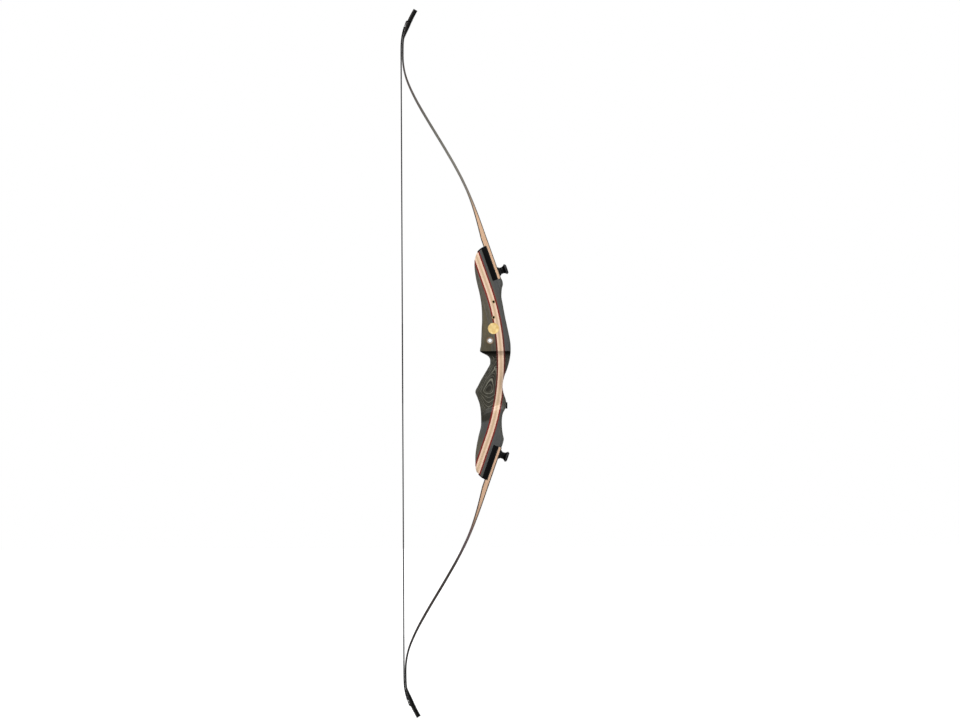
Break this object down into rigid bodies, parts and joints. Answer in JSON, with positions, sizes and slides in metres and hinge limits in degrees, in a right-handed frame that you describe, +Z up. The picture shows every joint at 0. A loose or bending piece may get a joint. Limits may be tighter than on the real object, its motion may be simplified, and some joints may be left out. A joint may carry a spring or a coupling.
{
  "type": "recurve bow",
  "caption": "Strung wooden takedown recurve bow: laminated riser with grip and sight window, bolt-down recurved limbs that flex, and a served bowstring.",
  "frame": {"origin": "throat of the grip, the point that the archer's hand presses, in the string's plane", "axes": "+X towards the target, +Y to the archer's left, +Z up along the strung string"},
  "size_m": [0.2333, 0.0443, 1.5182],
  "materials": {
    "riser_block_wood": "satin varnished laminated dark wood",
    "riser_veneer": "satin varnished red wood",
    "riser_pale_wood": "satin varnished maple",
    "pad_black": "black laminate, satin",
    "insert_brass": "turned brass",
    "fitting_steel": "turned steel",
    "bushing_black": "black oxide",
    "medallion_gold": "polished gilt face",
    "upper_limb_glass": "glass fibre laminate, satin",
    "lower_limb_glass": "glass fibre laminate, satin",
    "limb_wood": "varnished maple core",
    "overlay_black": "black phenolic, polished",
    "knob_black": "black anodised, satin",
    "serving_thread": "waxed black nylon thread",
    "string_strands": "waxed black polyester strands"
  },
  "bodies": {
    "riser": {"riser_belly_block": "riser_block_wood", "riser_belly_veneer": "riser_veneer", "riser_core_lower": "riser_pale_wood", "riser_core_upper": "riser_pale_wood", "riser_back_veneer_upper": "riser_veneer", "riser_back_veneer_lower": "riser_veneer", "riser_back_block_upper": "riser_block_wood", "riser_back_block_lower": "riser_block_wood", "upper_limb_pad": "pad_black", "lower_limb_pad": "pad_black", "upper_bolt_insert": "insert_brass", "lower_bolt_insert": "insert_brass", "upper_locating_pin": "fitting_steel", "lower_locating_pin": "fitting_steel", "stabiliser_bushing": "bushing_black", "plunger_bushing": "fitting_steel", "sight_inserts": "insert_brass", "medallion": "medallion_gold", "upper_limb_butt_back_glass": "upper_limb_glass", "upper_limb_butt_core": "limb_wood", "upper_limb_wedge": "limb_wood", "upper_limb_butt_belly_glass": "upper_limb_glass", "lower_limb_butt_back_glass": "lower_limb_glass", "lower_limb_butt_core": "limb_wood", "lower_limb_wedge": "limb_wood", "lower_limb_butt_belly_glass": "lower_limb_glass"},
    "upper_limb": {"upper_limb_back_glass": "upper_limb_glass", "upper_limb_core": "limb_wood", "upper_limb_belly_glass": "upper_limb_glass", "upper_tip_overlay": "overlay_black", "upper_string_loop": "serving_thread"},
    "lower_limb": {"lower_limb_back_glass": "lower_limb_glass", "lower_limb_core": "limb_wood", "lower_limb_belly_glass": "lower_limb_glass", "lower_tip_overlay": "overlay_black", "lower_string_loop": "serving_thread"},
    "upper_bolt_lift": {"upper_bolt_washer": "knob_black"},
    "upper_bolt": {"upper_bolt_knob": "knob_black", "upper_bolt_stud": "fitting_steel"},
    "lower_bolt_lift": {"lower_bolt_washer": "knob_black"},
    "lower_bolt": {"lower_bolt_knob": "knob_black", "lower_bolt_stud": "fitting_steel"},
    "upper_string_end": {"upper_served_end": "serving_thread"},
    "upper_string": {"upper_string": "string_strands", "upper_end_serving": "serving_thread", "upper_centre_serving": "serving_thread"},
    "lower_string_end": {"lower_served_end": "serving_thread"},
    "lower_string": {"lower_string": "string_strands", "lower_end_serving": "serving_thread", "lower_centre_serving": "serving_thread"}
  },
  "joints": [
    {"name": "upper_limb_flex", "type": "hinge", "parent": "riser", "child": "upper_limb", "pos_m": [-0.0582, 0, 0.38419], "axis": [0, -1, 0], "range_deg": [0, 26.29], "stiffness_Nm_per_rad": 118, "springref_deg": -14.9},
    {"name": "upper_string_at_nock", "type": "hinge", "parent": "upper_limb", "child": "upper_string_end", "pos_m": [-0.18152, 0, 0.71887], "axis": [0, 1, 0], "range_deg": [0, 48.47]},
    {"name": "upper_string_lift_off", "type": "hinge", "parent": "upper_string_end", "child": "upper_string", "pos_m": [-0.18905, 0, 0.65615], "axis": [0, 1, 0], "range_deg": [0, 7.03], "deforming": ["upper_centre_serving"]},
    {"name": "upper_bolt_advance", "type": "slide", "parent": "riser", "child": "upper_bolt_lift", "axis": [0.9438, 0, 0.3305], "range_m": [0, 0.0128]},
    {"name": "upper_bolt_turn", "type": "hinge", "parent": "upper_bolt_lift", "child": "upper_bolt", "pos_m": [0.00138, 0, 0.1864], "axis": [0.9438, 0, 0.3305], "range_deg": [0, 3240]},
    {"name": "lower_limb_flex", "type": "hinge", "parent": "riser", "child": "lower_limb", "pos_m": [-0.0582, 0, -0.39019], "axis": [0, 1, 0], "range_deg": [0, 26.29], "stiffness_Nm_per_rad": 118, "springref_deg": -14.9},
    {"name": "lower_string_at_nock", "type": "hinge", "parent": "lower_limb", "child": "lower_string_end", "pos_m": [-0.18152, 0, -0.72487], "axis": [0, -1, 0], "range_deg": [0, 48.47]},
    {"name": "lower_string_lift_off", "type": "hinge", "parent": "lower_string_end", "child": "lower_string", "pos_m": [-0.18905, 0, -0.66215], "axis": [0, -1, 0], "range_deg": [0, 7.03], "deforming": ["lower_centre_serving"]},
    {"name": "lower_bolt_advance", "type": "slide", "parent": "riser", "child": "lower_bolt_lift", "axis": [0.9438, 0, -0.3305], "range_m": [0, 0.0128]},
    {"name": "lower_bolt_turn", "type": "hinge", "parent": "lower_bolt_lift", "child": "lower_bolt", "pos_m": [0.00138, 0, -0.1924], "axis": [0.9438, 0, -0.3305], "range_deg": [0, 3240]}
  ],
  "couplings": [
    {"joint": "lower_limb_flex", "follows": "upper_limb_flex", "ratio": 1},
    {"joint": "upper_string_at_nock", "follows": "upper_limb_flex", "ratio": 1.8416},
    {"joint": "upper_string_lift_off", "follows": "upper_limb_flex", "ratio": 0.26561},
    {"joint": "upper_bolt_advance", "follows": "upper_bolt_turn", "m_per_rad": 0.00022459},
    {"joint": "lower_string_at_nock", "follows": "upper_limb_flex", "ratio": 1.8416},
    {"joint": "lower_string_lift_off", "follows": "upper_limb_flex", "ratio": 0.26561},
    {"joint": "lower_bolt_advance", "follows": "lower_bolt_turn", "m_per_rad": 0.00022459}
  ]
}
